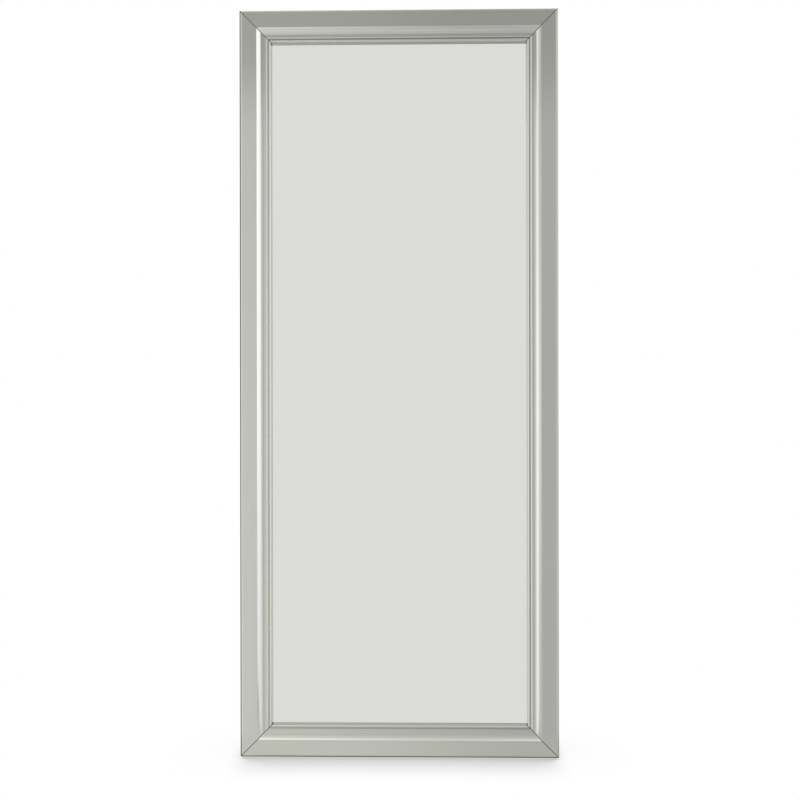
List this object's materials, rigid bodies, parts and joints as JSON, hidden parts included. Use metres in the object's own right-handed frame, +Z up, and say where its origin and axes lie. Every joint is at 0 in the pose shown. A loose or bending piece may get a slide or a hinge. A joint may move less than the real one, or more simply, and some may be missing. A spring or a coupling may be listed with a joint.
{
  "type": "standing mirror with shelves",
  "caption": "Full-length mirror in a mitred silver moulding, hinged as the door of a shallow floor-standing cabinet with shelves behind it.",
  "frame": {"origin": "on the floor, in the middle of the width and of the depth", "axes": "+X to the viewer's right, +Y from the mirror's face back to the wall, +Z up"},
  "size_m": [0.762, 0.2058, 1.793],
  "materials": {
    "champagne_lacquer": "satin champagne-silver metallic lacquer on a moulded wood bar",
    "cabinet_lacquer": "satin champagne-silver lacquer on board",
    "shelf_board": "pale melamine-faced board",
    "hardboard": "brown hardboard, matt",
    "beech": "bare beech",
    "mirror": "silvered plate, polished",
    "zinc_steel": "bright zinc plate",
    "foam": "matt black",
    "clear_rubber": "translucent, satin",
    "white_plastic": "satin white",
    "ferrite": "dark grey, matt"
  },
  "bodies": {
    "cabinet": {"left_side": "cabinet_lacquer", "right_side": "cabinet_lacquer", "top_panel": "cabinet_lacquer", "bottom_panel": "cabinet_lacquer", "fixed_shelf": "shelf_board", "plinth_front": "cabinet_lacquer", "plinth_back": "cabinet_lacquer", "wall_rail": "shelf_board", "loose_shelf_1": "shelf_board", "loose_shelf_2": "shelf_board", "loose_shelf_3": "shelf_board", "loose_shelf_4": "shelf_board", "shelf_pins": "zinc_steel", "back_panel": "hardboard", "back_panel_screws": "zinc_steel", "cam_locks": "zinc_steel", "cam_bolts": "zinc_steel", "dowels": "beech", "hinge_cabinet_leaf": "zinc_steel", "hinge_cabinet_screws": "zinc_steel", "hinge_pin": "zinc_steel", "catch_housings": "white_plastic", "catch_magnets": "ferrite", "catch_pole_plates": "zinc_steel", "catch_screws": "zinc_steel", "door_bumpers": "clear_rubber", "glides": "white_plastic", "glide_nails": "zinc_steel"},
    "door": {"frame_left_stile": "champagne_lacquer", "frame_right_stile": "champagne_lacquer", "frame_top_rail": "champagne_lacquer", "frame_bottom_rail": "champagne_lacquer", "mitre_tenons": "beech", "corner_plates": "zinc_steel", "corner_plate_screws": "zinc_steel", "mirror_glass": "mirror", "glass_foam_tape": "foam", "glass_setting_blocks": "foam", "mirror_backer": "hardboard", "backer_screws": "zinc_steel", "hinge_door_leaf": "zinc_steel", "hinge_door_screws": "zinc_steel", "strike_plates": "zinc_steel", "strike_screws": "zinc_steel"}
  },
  "joints": [
    {"name": "door_hinge", "type": "hinge", "parent": "cabinet", "child": "door", "pos_m": [-0.369, -0.065, 0.899], "axis": [0, 0, -1], "range_deg": [0, 110]}
  ]
}
